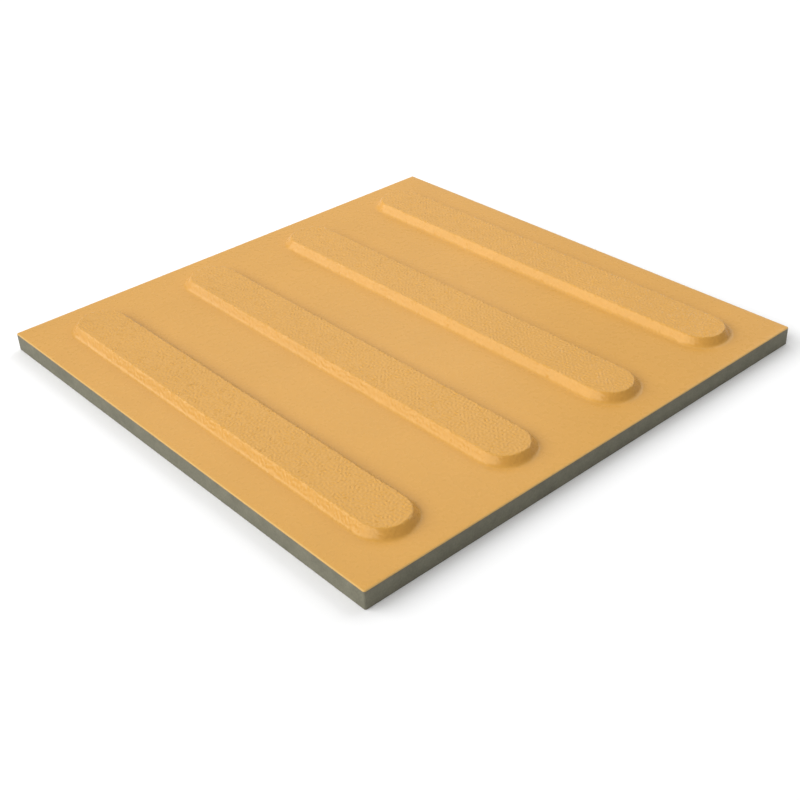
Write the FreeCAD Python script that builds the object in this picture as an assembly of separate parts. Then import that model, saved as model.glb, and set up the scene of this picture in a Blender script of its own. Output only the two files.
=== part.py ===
import FreeCAD, Part
import os

# A tactile guiding slab: a thin square plate, pressed and fired in one piece with raised
# round-ended bars that a foot or a cane follows.
# Millimetres. +Z is up, the bars run along X, and the origin is the middle of the underside.

# The plate
SIDE = 300.0
PLATE_THICKNESS = 10.5
CORNER_RADIUS = 1.0
TOP_ARRIS = 0.6
BOTTOM_ARRIS = 0.3

# The guiding bars
BAR_COUNT = 4
BAR_HEIGHT = 4.7
BAR_TOP_WIDTH = 26.0
BAR_FLANK_RUN = 3.6
BAR_END_MARGIN = 14.0
BAR_CROWN_RADIUS = 1.2
BAR_ROOT_RADIUS = 2.5

# The keying on the underside: shallow cells between flat ribs, for the bedding to grip
CELL_WIDTH = 22.0
CELL_RIB = 6.0
CELL_DEPTH = 0.8
CELL_WALL_RUN = 0.8
CELL_BORDER = 12.0

# What follows from those sizes
HALF_SIDE = SIDE / 2
BAR_PITCH = SIDE / BAR_COUNT
BAR_TOP_RADIUS = BAR_TOP_WIDTH / 2
BAR_ROOT_HALF_WIDTH = BAR_TOP_RADIUS + BAR_FLANK_RUN
BAR_END_CENTRE = HALF_SIDE - BAR_END_MARGIN - BAR_ROOT_HALF_WIDTH
BAR_TOP = PLATE_THICKNESS + BAR_HEIGHT
CELL_PITCH = CELL_WIDTH + CELL_RIB
CELLS_PER_SIDE = int((SIDE - 2 * CELL_BORDER + CELL_RIB) // CELL_PITCH)

LEVEL_TOLERANCE = 0.001


def point(x, y, z):
    return FreeCAD.Vector(x, y, z)


def closed_wire(corners):
    return Part.makePolygon(corners + corners[:1])


def edges_at(solid, level):
    """The edges that lie flat at one height."""
    return [
        edge for edge in solid.Edges
        if abs(edge.BoundBox.ZMin - level) < LEVEL_TOLERANCE
        and abs(edge.BoundBox.ZMax - level) < LEVEL_TOLERANCE
    ]


def on_the_rim(edge):
    """Whether an edge is part of the plate's square outline."""
    box = edge.BoundBox
    reach = max(abs(box.XMin), abs(box.XMax), abs(box.YMin), abs(box.YMax))
    return reach > HALF_SIDE - CORNER_RADIUS


def centred_places(count, pitch):
    return [(index - (count - 1) / 2) * pitch for index in range(count)]


def plate():
    """The square plate, with its upright corners rounded."""
    blank = Part.makeBox(SIDE, SIDE, PLATE_THICKNESS, point(-HALF_SIDE, -HALF_SIDE, 0))
    uprights = [edge for edge in blank.Edges if edge.BoundBox.ZLength > PLATE_THICKNESS / 2]
    return blank.makeFillet(CORNER_RADIUS, uprights)


def bar(y):
    """One bar on the plate: a tapered run between two half-round tapered ends."""
    section = Part.Face(closed_wire([
        point(-BAR_END_CENTRE, y - BAR_ROOT_HALF_WIDTH, PLATE_THICKNESS),
        point(-BAR_END_CENTRE, y + BAR_ROOT_HALF_WIDTH, PLATE_THICKNESS),
        point(-BAR_END_CENTRE, y + BAR_TOP_RADIUS, BAR_TOP),
        point(-BAR_END_CENTRE, y - BAR_TOP_RADIUS, BAR_TOP),
    ]))
    run = section.extrude(point(2 * BAR_END_CENTRE, 0, 0))
    ends = [
        Part.makeCone(BAR_ROOT_HALF_WIDTH, BAR_TOP_RADIUS, BAR_HEIGHT, point(x, y, PLATE_THICKNESS))
        for x in (-BAR_END_CENTRE, BAR_END_CENTRE)
    ]
    return run.fuse(ends).removeSplitter()


def keying_cell(x, y):
    """One shallow cell of the underside, with sloping walls so that the press lets it go."""
    def square(width, level):
        low = -width / 2
        high = width / 2
        return closed_wire([
            point(x + low, y + low, level),
            point(x + high, y + low, level),
            point(x + high, y + high, level),
            point(x + low, y + high, level),
        ])

    mouth = square(CELL_WIDTH, 0)
    floor = square(CELL_WIDTH - 2 * CELL_WALL_RUN, CELL_DEPTH)
    return Part.makeLoft([mouth, floor], True, True)


def paving_slab():
    """The whole slab as one body: bars blended into the plate, edges eased, underside keyed."""
    bars = [bar(y) for y in centred_places(BAR_COUNT, BAR_PITCH)]
    body = plate().fuse(bars).removeSplitter()

    roots = [edge for edge in edges_at(body, PLATE_THICKNESS) if not on_the_rim(edge)]
    body = body.makeFillet(BAR_ROOT_RADIUS, roots)
    body = body.makeFillet(BAR_CROWN_RADIUS, edges_at(body, BAR_TOP))

    top_rim = [edge for edge in edges_at(body, PLATE_THICKNESS) if on_the_rim(edge)]
    body = body.makeFillet(TOP_ARRIS, top_rim)
    body = body.makeChamfer(BOTTOM_ARRIS, edges_at(body, 0))

    places = centred_places(CELLS_PER_SIDE, CELL_PITCH)
    return body.cut([keying_cell(x, y) for x in places for y in places])


def main():
    os.makedirs("parts", exist_ok=True)
    slab = paving_slab()
    slab.exportStep("parts/paving_slab.step")
    box = slab.BoundBox
    print("solids", len(slab.Solids), "valid", slab.isValid(), "faces", len(slab.Faces))
    print("size", round(box.XLength, 3), round(box.YLength, 3), round(box.ZLength, 3))
    print("volume", round(slab.Volume, 1))


main()
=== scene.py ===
import math

import bpy
import numpy as np
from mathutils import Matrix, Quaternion, Vector
from mathutils.geometry import delaunay_2d_cdt


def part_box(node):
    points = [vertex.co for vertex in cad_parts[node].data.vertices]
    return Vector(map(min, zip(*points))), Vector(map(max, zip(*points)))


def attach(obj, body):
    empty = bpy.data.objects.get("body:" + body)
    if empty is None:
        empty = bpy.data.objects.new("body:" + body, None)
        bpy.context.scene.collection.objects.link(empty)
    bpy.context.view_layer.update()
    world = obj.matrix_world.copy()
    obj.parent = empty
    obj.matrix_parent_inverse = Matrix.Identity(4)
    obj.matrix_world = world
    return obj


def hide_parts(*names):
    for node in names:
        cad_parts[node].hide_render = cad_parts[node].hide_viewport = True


# The slab's surface is worked out in millimetres and goes to Blender in metres.
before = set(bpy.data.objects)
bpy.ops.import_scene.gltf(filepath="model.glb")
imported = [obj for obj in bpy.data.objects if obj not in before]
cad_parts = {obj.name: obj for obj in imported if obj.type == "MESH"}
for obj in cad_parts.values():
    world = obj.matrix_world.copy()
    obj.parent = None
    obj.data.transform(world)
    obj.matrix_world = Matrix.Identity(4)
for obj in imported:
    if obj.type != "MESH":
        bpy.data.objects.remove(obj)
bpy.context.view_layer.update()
_, slab_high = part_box("paving_slab")
MM = 0.001

# Plate
HALF_SIDE = slab_high.x / MM
CORNER_RADIUS = 1.0
TOP_ARRIS = 0.6
BOTTOM_ARRIS = 0.3

# Guiding bars
BAR_COUNT = 4
BAR_HEIGHT = 4.7
BAR_TOP_RADIUS = 13.0
BAR_FLANK_RUN = 3.6
BAR_END_MARGIN = 14.0
BAR_CROWN_RADIUS = 1.2
BAR_ROOT_RADIUS = 2.5
BAR_PITCH = 2 * HALF_SIDE / BAR_COUNT
BAR_ROOT_HALF_WIDTH = BAR_TOP_RADIUS + BAR_FLANK_RUN
BAR_END_CENTRE = HALF_SIDE - BAR_END_MARGIN - BAR_ROOT_HALF_WIDTH
FACE_LEVEL = slab_high.z / MM - BAR_HEIGHT

# Keying cells of the underside
CELL_WIDTH = 22.0
CELL_RIB = 6.0
CELL_DEPTH = 0.8
CELL_WALL_RUN = 0.8
CELLS_PER_SIDE = 10

# Leather-like grain pressed into the bars
GRAIN_SPACING = 2.0
GRAIN_SPREAD = 0.25
GRAIN_DEPTH = 0.40
GRAIN_ON_FLANK = 0.68
GRAIN_SHARPNESS = 0.8
GRAIN_WAVES = 60
GRAIN_SEED = 11

# How finely the surface is divided
GRAIN_STEP = 0.72
RING_STEP = 0.84
FIELD_STEP = 4.0
RIM_STEP = 10.0
SUPPORT_GAP = 0.4
CORNER_STEPS = 4
ARRIS_STEPS = 5
SIDE_STEPS = 6
CROWN_STEPS = 3
FLANK_STEPS = 6
ROOT_STEPS = 3

# What counts as one point, as no distance, and as a sharp edge
MERGE_DISTANCE = 1e-5
NEARLY_ZERO = 1e-9
SHARP_ANGLE = math.radians(30)

# Camera, solved from the corners of the square
CAMERA_TARGET = Vector((0.0543, -0.0446, FACE_LEVEL * MM))
CAMERA_AZIMUTH = math.radians(49.68)
CAMERA_ELEVATION = math.radians(33.10)
CAMERA_ROLL = math.radians(-2.81)
CAMERA_DISTANCE = 0.6273
CAMERA_LENS = 56.37
SENSOR_WIDTH = 36.0

# Yellow face: its deepest and palest tone, the paler colour painted on its arris as a painted highlight,
# and the tint of its sheen
YELLOW_DEEP = (0.560, 0.291, 0.059)
YELLOW_PALE = (0.684, 0.355, 0.072)
ARRIS_PAINTED_HIGHLIGHT = (0.64, 0.385, 0.12)
SHEEN_TINT = (1.0, 0.86, 0.6, 1.0)

# Yellow face: how wide its clouds, specks, smears and ripples are, and how deep its ripples
CLOUD_SIZE = 34.0
SPECK_SIZE = 1.3
SMEAR_SIZE = 5.0
RIPPLE_SIZE = 2.2
RIPPLE_DEPTH = 0.012

# Yellow face: what clouds, specks and hollows add to its tone, how rough it is, and how it shines
CLOUD_TONE = 0.10
SPECK_TONE = 0.10
HOLLOW_TONE = -0.05
FACE_ROUGHNESS = 0.28
SMEAR_ROUGHNESS = 0.03
ARRIS_ROUGHNESS = 0.25
FACE_SPECULAR = 0.4

# Bare body: its darkest and lightest tone, how wide its marks are, and how deep its pits
BODY_DARK = (0.106, 0.101, 0.069)
BODY_LIGHT = (0.186, 0.177, 0.125)
MOTTLE_SIZE = 7.0
SAND_SIZE = 0.9
PATCH_SIZE = 3.0
PIT_SIZE = 0.8
PIT_DEPTH = 0.06

# Bare body: what mottle and sand add to its tone, and how rough it is
MOTTLE_TONE = 0.22
SAND_TONE = 0.22
BODY_ROUGHNESS = 0.79
PATCH_ROUGHNESS = 0.07

# Both finishes: the starting tone, the span that nearly all of a noise lies in, and how fine it is
MIDDLE_TONE = 0.5
NOISE_LOW = 0.3
NOISE_HIGH = 0.7
SOFT_DETAIL = 2.0
CLOUDY_DETAIL = 3.0

# Studio: how far the floor goes and how far off the softboxes stand, in metres, and the floor's white
FLOOR_REACH = 8.0
STUDIO_DISTANCE = 12.0
NEAR_DISTANCE = 0.7
FLOOR_COLOUR = (0.94, 0.94, 0.94, 1)

# Room: its light overhead and at the horizon, and the height in degrees where the one becomes the other
ROOM_LIGHT = 0.30
HORIZON_LIGHT = 0.95
HORIZON_HEIGHT = 8.0


def centred_places(count, pitch):
    return [(index - (count - 1) / 2) * pitch for index in range(count)]


def rim_outline(inset):
    """The square outline with rounded corners, drawn in by a distance, always with as many points."""
    centre = HALF_SIDE - CORNER_RADIUS
    radius = CORNER_RADIUS - inset
    angles = np.linspace(0, math.pi / 2, CORNER_STEPS + 1)
    arc = np.column_stack((centre + radius * np.cos(angles), centre + radius * np.sin(angles)))
    run_x = np.linspace(centre, -centre, round(2 * centre / RIM_STEP) + 1)[1:-1]
    run = np.column_stack((run_x, np.full_like(run_x, centre + radius)))
    side = np.vstack((arc, run))
    quarter_turn = np.array(((0, 1), (-1, 0)))
    sides = [side]
    for _ in range(3):
        sides.append(sides[-1] @ quarter_turn)
    return np.vstack(sides)


def bar_section():
    """Stations down a bar's flank, from the edge of its flat top to the plate: distance from
    the bar's spine, height, tilt of the surface, and distance along the surface."""
    slope = math.atan2(BAR_HEIGHT, BAR_FLANK_RUN)
    crown_start = BAR_TOP_RADIUS - BAR_CROWN_RADIUS * math.tan(slope / 2)
    root_end = BAR_ROOT_HALF_WIDTH + BAR_ROOT_RADIUS * math.tan(slope / 2)

    crown_tilt = np.linspace(0, slope, CROWN_STEPS + 1)
    crown_out = crown_start + BAR_CROWN_RADIUS * np.sin(crown_tilt)
    crown_up = BAR_HEIGHT - BAR_CROWN_RADIUS * (1 - np.cos(crown_tilt))

    root_tilt = np.linspace(slope, 0, ROOT_STEPS + 1)
    root_out = root_end - BAR_ROOT_RADIUS * np.sin(root_tilt)
    root_up = BAR_ROOT_RADIUS * (1 - np.cos(root_tilt))

    flank_out = np.linspace(crown_out[-1], root_out[0], FLANK_STEPS + 1)[1:-1]
    flank_up = np.linspace(crown_up[-1], root_up[0], FLANK_STEPS + 1)[1:-1]
    flank_tilt = np.full_like(flank_out, slope)

    out = np.concatenate((crown_out, flank_out, root_out, [root_end + SUPPORT_GAP]))
    up = np.concatenate((crown_up, flank_up, root_up, [0]))
    tilt = np.concatenate((crown_tilt, flank_tilt, root_tilt, [0]))
    along = out[0] + np.concatenate(([0], np.cumsum(np.hypot(np.diff(out), np.diff(up)))))
    return out, up, tilt, along


SECTION = bar_section()


def bar_ring(radius):
    """Points round a bar at one distance from its spine, as many at every distance."""
    arc_count = round(math.pi * BAR_TOP_RADIUS / RING_STEP)
    run_count = round(2 * BAR_END_CENTRE / RING_STEP)
    angles = np.linspace(-math.pi / 2, math.pi / 2, arc_count + 1)
    arc = np.column_stack((BAR_END_CENTRE + radius * np.cos(angles), radius * np.sin(angles)))
    run_x = np.linspace(BAR_END_CENTRE, -BAR_END_CENTRE, run_count + 1)[1:-1]
    run = np.column_stack((run_x, np.full_like(run_x, radius)))
    half = np.vstack((arc, run))
    return np.vstack((half, -half))


def from_spine(points):
    """How far points near a bar at the origin lie from its spine, and in which direction."""
    foot = np.clip(points[:, 0], -BAR_END_CENTRE, BAR_END_CENTRE)
    away = points - np.column_stack((foot, np.zeros_like(foot)))
    distance = np.hypot(away[:, 0], away[:, 1])
    direction = away / np.maximum(distance, NEARLY_ZERO)[:, None]
    return foot, distance, direction


def triangular_lattice(half_x, half_y, step):
    row_gap = step * math.sqrt(3) / 2
    rows = math.floor(half_y / row_gap)
    columns = math.floor(half_x / step)
    points = [
        ((column + 0.5 * (row % 2)) * step, row * row_gap)
        for row in range(-rows, rows + 1)
        for column in range(-columns, columns + 1)
    ]
    return np.array(points)


def bar_points():
    """Points of one bar at the origin: rings down its flank and a lattice on its flat top."""
    out = SECTION[0]
    rings = [bar_ring(radius) for radius in out]
    lattice = triangular_lattice(BAR_END_CENTRE + out[0], out[0], GRAIN_STEP)
    _, distance, _ = from_spine(lattice)
    return np.vstack(rings + [lattice[distance < out[0] - GRAIN_STEP / 2]])


def field_points(bar_places):
    """A coarse lattice on the plain face between the bars."""
    inner = HALF_SIDE - TOP_ARRIS - FIELD_STEP / 2
    lattice = triangular_lattice(inner, inner, FIELD_STEP)
    clear = SECTION[0][-1] + FIELD_STEP / 2
    for y in bar_places:
        _, distance, _ = from_spine(lattice - (0, y))
        lattice = lattice[distance > clear]
    return lattice


def leather(sheet):
    """Wandering ridges from minus one to one: seeded plane waves of nearly one length, summed."""
    draw = np.random.default_rng(GRAIN_SEED)
    total = np.zeros(len(sheet))
    for _ in range(GRAIN_WAVES):
        heading = draw.uniform(0, 2 * math.pi)
        length = GRAIN_SPACING * (1 + draw.uniform(-GRAIN_SPREAD, GRAIN_SPREAD))
        phase = draw.uniform(0, 2 * math.pi)
        run = sheet @ (math.cos(heading), math.sin(heading))
        total += np.cos(run * 2 * math.pi / length + phase)
    return np.tanh(GRAIN_SHARPNESS * total / math.sqrt(GRAIN_WAVES / 2))


def raised(points, bar_places):
    """Lifts flat points to the bars' surface and presses the grain into it. Returns the lifted
    points and how deep in the grain each lies: 0 on a ridge, 1 in a hollow, a half off the bars."""
    out, up, tilt, along = SECTION
    place = np.array(bar_places)
    nearest = place[np.abs(points[:, 1, None] - place).argmin(axis=1)]
    middle = np.column_stack((np.zeros_like(nearest), nearest))
    foot, distance, direction = from_spine(points - middle)
    unrolled = np.interp(distance, np.append(0, out), np.append(0, along))
    sheet = middle + np.column_stack((foot, np.zeros_like(foot))) + direction * unrolled[:, None]
    bounds = (out[0], out[CROWN_STEPS], out[-2 - ROOT_STEPS], out[-2])
    cover = np.interp(distance, bounds, (1, GRAIN_ON_FLANK, GRAIN_ON_FLANK, 0))
    depth = 0.5 - 0.5 * leather(sheet)
    sink = cover * GRAIN_DEPTH * depth
    lean = np.interp(distance, out, tilt)
    inward = direction * (sink * np.sin(lean))[:, None]
    level = FACE_LEVEL + np.interp(distance, out, up) - sink * np.cos(lean)
    return np.column_stack((points - inward, level)), 0.5 + cover * (depth - 0.5)


def triangles_over(points):
    """Delaunay triangles over flat points, as rows of three indices into them."""
    flat = [Vector(point) for point in points.tolist()]
    whole_hull = 0
    _, _, faces, origin, _, _ = delaunay_2d_cdt(flat, [], [], whole_hull, MERGE_DISTANCE)
    first = [group[0] for group in origin]
    return [[first[corner] for corner in face] for face in faces]


def at_level(points, level):
    return np.column_stack((points, np.full(len(points), level)))


def rim_rings():
    """Rings down the slab's edge: rounded top arris, upright side, chamfer at the bottom."""
    rings = []
    for angle in np.linspace(0, math.pi / 2, ARRIS_STEPS + 1)[1:]:
        inset = TOP_ARRIS * (1 - math.sin(angle))
        drop = TOP_ARRIS * (1 - math.cos(angle))
        rings.append(at_level(rim_outline(inset), FACE_LEVEL - drop))
    side_top = FACE_LEVEL - TOP_ARRIS - SUPPORT_GAP
    for level in np.linspace(side_top, BOTTOM_ARRIS + SUPPORT_GAP, SIDE_STEPS):
        rings.append(at_level(rim_outline(0), level))
    rings.append(at_level(rim_outline(0), BOTTOM_ARRIS))
    rings.append(at_level(rim_outline(BOTTOM_ARRIS), 0))
    return rings


def square_corners(x, y, half):
    corners = np.array(((-half, -half), (half, -half), (half, half), (-half, half)))
    return corners + (x, y)


class Surface:
    """Vertices and faces gathered piece by piece, with what the materials need to know of them:
    each face's material number, each vertex's depth in the grain and how much it lies on the arris."""

    def __init__(self):
        self.vertices = []
        self.depths = []
        self.arrises = []
        self.faces = []
        self.materials = []

    def add_vertices(self, points, depth=0.5, arris=0.0):
        start = len(self.vertices)
        self.vertices += points.tolist()
        self.depths += np.broadcast_to(depth, len(points)).tolist()
        self.arrises += [arris] * len(points)
        return range(start, start + len(points))

    def add_faces(self, faces, material):
        self.faces += faces
        self.materials += [material] * len(faces)

    def join_rings(self, upper, lower, material):
        count = len(upper)
        self.add_faces([
            [upper[i], lower[i], lower[(i + 1) % count], upper[(i + 1) % count]]
            for i in range(count)
        ], material)

    def mesh(self, name):
        mesh = bpy.data.meshes.new(name)
        mesh.from_pydata([Vector(vertex) * MM for vertex in self.vertices], [], self.faces)
        mesh.polygons.foreach_set("material_index", self.materials)
        mesh.polygons.foreach_set("use_smooth", [True] * len(self.faces))
        mesh.attributes.new("depth", "FLOAT", "POINT").data.foreach_set("value", self.depths)
        mesh.attributes.new("arris", "FLOAT", "POINT").data.foreach_set("value", self.arrises)
        mesh.set_sharp_from_angle(angle=SHARP_ANGLE)
        mesh.update()
        return mesh


# Numbers of the slab's two materials, in the order that it takes them on
GLAZE = 0
BODY = 1


def add_walking_face(surface):
    """The yellow face with its bars. Returns the indices of its outer edge."""
    bar_places = centred_places(BAR_COUNT, BAR_PITCH)
    outline = rim_outline(TOP_ARRIS)
    bar = bar_points()
    points = np.vstack(
        [outline, rim_outline(TOP_ARRIS + SUPPORT_GAP / 2), field_points(bar_places)]
        + [bar + (0, y) for y in bar_places]
    )
    index = surface.add_vertices(*raised(points, bar_places))
    surface.add_faces([[index[corner] for corner in face] for face in triangles_over(points)], GLAZE)
    return index[:len(outline)]


def add_rim(surface, upper):
    """The arris, the sides and the bottom chamfer. Returns the indices of the bottom edge."""
    for number, ring in enumerate(rim_rings()):
        on_arris = number < ARRIS_STEPS
        # The arris share marks where the painted highlight goes and where the face is rougher.
        lower = surface.add_vertices(ring, arris=float(on_arris))
        surface.join_rings(upper, lower, GLAZE if on_arris else BODY)
        upper = lower
    return upper


def add_underside(surface, outer):
    """Flat ribs round shallow square cells."""
    places = centred_places(CELLS_PER_SIDE, CELL_WIDTH + CELL_RIB)
    centres = [(x, y) for x in places for y in places]
    outline = rim_outline(BOTTOM_ARRIS)
    mouths = [square_corners(x, y, CELL_WIDTH / 2) for x, y in centres]
    points = np.vstack([outline] + mouths)
    index = list(outer) + list(surface.add_vertices(at_level(np.vstack(mouths), 0)))

    def in_a_cell(face):
        middle = points[face].mean(axis=0)
        return any(abs(middle - centre).max() < CELL_WIDTH / 2 for centre in centres)

    ribs = [face for face in triangles_over(points) if not in_a_cell(face)]
    surface.add_faces([[index[corner] for corner in reversed(face)] for face in ribs], BODY)

    for number, (x, y) in enumerate(centres):
        start = len(outline) + 4 * number
        mouth = index[start:start + 4]
        floor_corners = square_corners(x, y, CELL_WIDTH / 2 - CELL_WALL_RUN)
        floor = surface.add_vertices(at_level(floor_corners, CELL_DEPTH))
        surface.join_rings(mouth, floor, BODY)
        surface.add_faces([list(reversed(floor))], BODY)


def make_slab():
    surface = Surface()
    top_edge = add_walking_face(surface)
    bottom_edge = add_rim(surface, top_edge)
    add_underside(surface, bottom_edge)
    slab = bpy.data.objects.new("tactile_slab", surface.mesh("tactile_slab"))
    bpy.context.scene.collection.objects.link(slab)
    return slab


def new_material(name):
    material = bpy.data.materials.new(name)
    material.use_nodes = True
    tree = material.node_tree
    return material, tree, tree.nodes["Principled BSDF"]


def noise(tree, size, detail=SOFT_DETAIL):
    """Soft noise from 0 to 1, with lumps about as wide as the size in millimetres."""
    place = tree.nodes.new("ShaderNodeTexCoord")
    texture = tree.nodes.new("ShaderNodeTexNoise")
    texture.inputs["Scale"].default_value = 1 / (size * MM)
    texture.inputs["Detail"].default_value = detail
    tree.links.new(place.outputs["Object"], texture.inputs["Vector"])
    return texture.outputs["Fac"]


def stored(tree, name):
    """A value kept on the mesh's vertices."""
    attribute = tree.nodes.new("ShaderNodeAttribute")
    attribute.attribute_name = name
    return attribute.outputs["Fac"]


def about_zero(tree, value):
    """Stretches the middle of a noise, where nearly all of it lies, to run from minus one to one."""
    stretch = tree.nodes.new("ShaderNodeMapRange")
    stretch.inputs["From Min"].default_value = NOISE_LOW
    stretch.inputs["From Max"].default_value = NOISE_HIGH
    stretch.inputs["To Min"].default_value = -1
    stretch.inputs["To Max"].default_value = 1
    tree.links.new(value, stretch.inputs["Value"])
    return stretch.outputs["Result"]


def weighed(tree, middle, parts):
    """Adds values, each times its weight, to a middle value."""
    total = None
    for value, weight in parts:
        step = tree.nodes.new("ShaderNodeMath")
        step.operation = "MULTIPLY_ADD"
        step.inputs[1].default_value = weight
        step.inputs[2].default_value = middle
        tree.links.new(value, step.inputs[0])
        if total:
            tree.links.new(total, step.inputs[2])
        total = step.outputs["Value"]
    return total


def coloured(tree, value, dark, light):
    """Colours from dark to light as the value goes from 0 to 1."""
    ramp = tree.nodes.new("ShaderNodeValToRGB")
    ramp.color_ramp.elements[0].color = (*dark, 1)
    ramp.color_ramp.elements[1].color = (*light, 1)
    tree.links.new(value, ramp.inputs["Fac"])
    return ramp.outputs["Color"]


def painted_over(tree, share, under, over):
    """One colour laid over another by a share from 0 to 1."""
    mix = tree.nodes.new("ShaderNodeMixRGB")
    mix.inputs["Color2"].default_value = (*over, 1)
    tree.links.new(share, mix.inputs["Fac"])
    tree.links.new(under, mix.inputs["Color1"])
    return mix.outputs["Color"]


def add_bump(tree, shader, height, depth):
    """Roughens a surface by a height from 0 to 1, times a depth in millimetres."""
    bump = tree.nodes.new("ShaderNodeBump")
    bump.inputs["Distance"].default_value = depth * MM
    tree.links.new(height, bump.inputs["Height"])
    tree.links.new(bump.outputs["Normal"], shader.inputs["Normal"])


def glaze_material():
    """Fired satin yellow: faintly cloudy and speckled, a little darker in the grain's hollows, and
    rougher on the arris, where it runs thin. The arris is also painted paler: a painted highlight."""
    material, tree, shader = new_material("yellow_glaze")
    clouds = about_zero(tree, noise(tree, CLOUD_SIZE, CLOUDY_DETAIL))
    specks = about_zero(tree, noise(tree, SPECK_SIZE))
    # Tone a little darker in the grain's hollows and lighter on its ridges.
    hollows = about_zero(tree, stored(tree, "depth"))
    changes = ((clouds, CLOUD_TONE), (specks, SPECK_TONE), (hollows, HOLLOW_TONE))
    tone = weighed(tree, MIDDLE_TONE, changes)
    yellow = coloured(tree, tone, YELLOW_DEEP, YELLOW_PALE)
    arris = stored(tree, "arris")
    # The arris is painted paler here: a painted highlight along the top edge.
    with_painted_highlight = painted_over(tree, arris, yellow, ARRIS_PAINTED_HIGHLIGHT)
    tree.links.new(with_painted_highlight, shader.inputs["Base Color"])
    smears = about_zero(tree, noise(tree, SMEAR_SIZE))
    roughness = weighed(tree, FACE_ROUGHNESS, ((smears, SMEAR_ROUGHNESS), (arris, ARRIS_ROUGHNESS)))
    tree.links.new(roughness, shader.inputs["Roughness"])
    shader.inputs["Specular IOR Level"].default_value = FACE_SPECULAR
    shader.inputs["Specular Tint"].default_value = SHEEN_TINT
    add_bump(tree, shader, noise(tree, RIPPLE_SIZE), RIPPLE_DEPTH)
    return material


def body_material():
    """Bare pressed body: olive-grey, mottled and finely grained, matt."""
    material, tree, shader = new_material("grey_body")
    mottle = about_zero(tree, noise(tree, MOTTLE_SIZE, CLOUDY_DETAIL))
    sand = about_zero(tree, noise(tree, SAND_SIZE))
    tone = weighed(tree, MIDDLE_TONE, ((mottle, MOTTLE_TONE), (sand, SAND_TONE)))
    grey = coloured(tree, tone, BODY_DARK, BODY_LIGHT)
    tree.links.new(grey, shader.inputs["Base Color"])
    patches = about_zero(tree, noise(tree, PATCH_SIZE))
    roughness = weighed(tree, BODY_ROUGHNESS, ((patches, PATCH_ROUGHNESS),))
    tree.links.new(roughness, shader.inputs["Roughness"])
    add_bump(tree, shader, noise(tree, PIT_SIZE), PIT_DEPTH)
    return material


def add_floor():
    mesh = bpy.data.meshes.new("floor")
    corners = [(x * FLOOR_REACH, y * FLOOR_REACH, 0) for x, y in ((-1, -1), (1, -1), (1, 1), (-1, 1))]
    mesh.from_pydata(corners, [], [(0, 1, 2, 3)])
    material = bpy.data.materials.new("white_floor")
    material.use_nodes = True
    shader = material.node_tree.nodes["Principled BSDF"]
    shader.inputs["Base Color"].default_value = FLOOR_COLOUR
    shader.inputs["Roughness"].default_value = 1.0
    shader.inputs["Specular IOR Level"].default_value = 0.0
    mesh.materials.append(material)
    floor = bpy.data.objects.new("floor", mesh)
    bpy.context.scene.collection.objects.link(floor)


def add_camera():
    away = Vector((
        math.sin(CAMERA_AZIMUTH) * math.cos(CAMERA_ELEVATION),
        -math.cos(CAMERA_AZIMUTH) * math.cos(CAMERA_ELEVATION),
        math.sin(CAMERA_ELEVATION),
    ))
    data = bpy.data.cameras.new("camera")
    data.lens = CAMERA_LENS
    data.sensor_width = SENSOR_WIDTH
    camera = bpy.data.objects.new("camera", data)
    camera.location = CAMERA_TARGET + away * CAMERA_DISTANCE
    camera.rotation_mode = "QUATERNION"
    upright = (-away).to_track_quat("-Z", "Y")
    camera.rotation_quaternion = upright @ Quaternion((0, 0, 1), CAMERA_ROLL)
    bpy.context.scene.collection.objects.link(camera)
    bpy.context.scene.camera = camera


def compass(bearing, height):
    """The direction at a bearing from +X and a height above the floor, both in degrees."""
    bearing = math.radians(bearing)
    height = math.radians(height)
    return Vector((
        math.cos(height) * math.cos(bearing),
        math.cos(height) * math.sin(bearing),
        math.sin(height),
    ))


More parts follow.
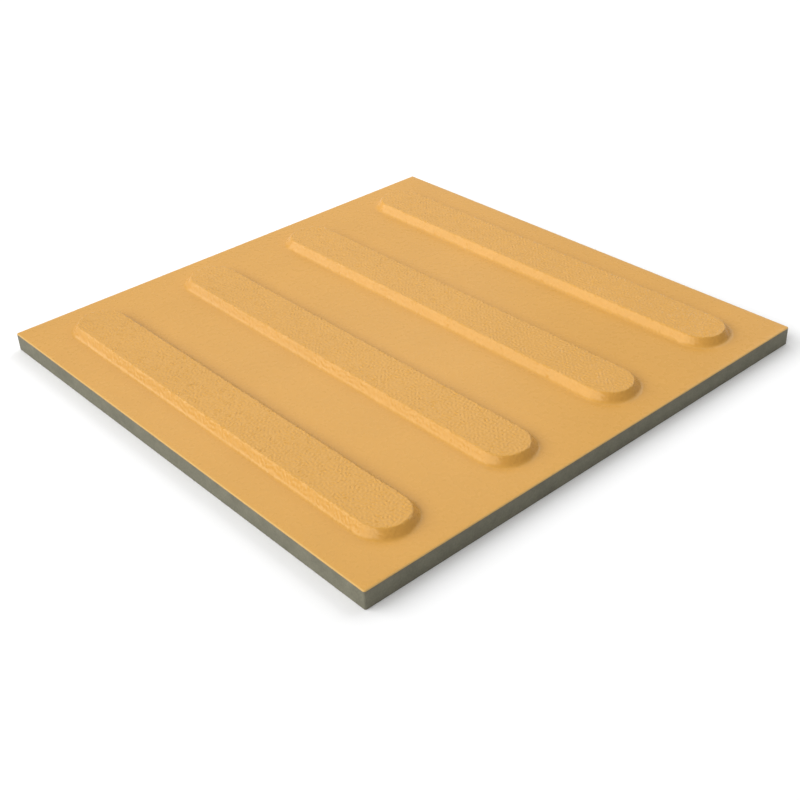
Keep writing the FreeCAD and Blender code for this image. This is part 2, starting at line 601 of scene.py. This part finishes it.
def add_room():
    """An even room that pales towards the floor, so that the floor runs out into it softly."""
    world = bpy.data.worlds.new("studio")
    world.use_nodes = True
    tree = world.node_tree
    place = tree.nodes.new("ShaderNodeTexCoord")
    parts = tree.nodes.new("ShaderNodeSeparateXYZ")
    fade = tree.nodes.new("ShaderNodeMapRange")
    fade.inputs["From Max"].default_value = math.sin(math.radians(HORIZON_HEIGHT))
    fade.inputs["To Min"].default_value = HORIZON_LIGHT
    fade.inputs["To Max"].default_value = ROOM_LIGHT
    background = tree.nodes["Background"]
    background.inputs["Color"].default_value = (1, 1, 1, 1)
    tree.links.new(place.outputs["Generated"], parts.inputs["Vector"])
    tree.links.new(parts.outputs["Z"], fade.inputs["Value"])
    tree.links.new(fade.outputs["Result"], background.inputs["Strength"])
    bpy.context.scene.world = world


def add_softbox(name, bearing, height, distance, width, depth, strength):
    """A softbox aimed at the slab. Its width and depth are the angles that it fills as seen from
    there, in degrees, and its strength what a small one would give a surface there that faces it."""
    away = compass(bearing, height)
    data = bpy.data.lights.new(name, "AREA")
    data.shape = "RECTANGLE"
    data.size = 2 * distance * math.tan(math.radians(width / 2))
    data.size_y = 2 * distance * math.tan(math.radians(depth / 2))
    data.energy = strength * math.pi * distance ** 2
    light = bpy.data.objects.new(name, data)
    light.location = away * distance
    light.rotation_mode = "QUATERNION"
    light.rotation_quaternion = (-away).to_track_quat("-Z", "Y")
    light.visible_camera = False
    bpy.context.scene.collection.objects.link(light)


def add_light():
    add_room()
    add_softbox(
        "front_strip", bearing=247, height=36, distance=STUDIO_DISTANCE, width=90, depth=33, strength=4.6)
    add_softbox(
        "back_left", bearing=136, height=32, distance=STUDIO_DISTANCE, width=45, depth=45, strength=0.25)
    add_softbox(
        "back_right", bearing=92, height=40, distance=STUDIO_DISTANCE, width=40, depth=40, strength=0.9)
    add_softbox(
        "near_left", bearing=158, height=56, distance=NEAR_DISTANCE, width=54, depth=54, strength=0.80)


slab = make_slab()
slab.data.materials.append(glaze_material())
slab.data.materials.append(body_material())
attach(slab, "root")
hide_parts("paving_slab")
add_floor()
add_camera()
add_light()
bpy.context.scene.view_settings.view_transform = "Standard"
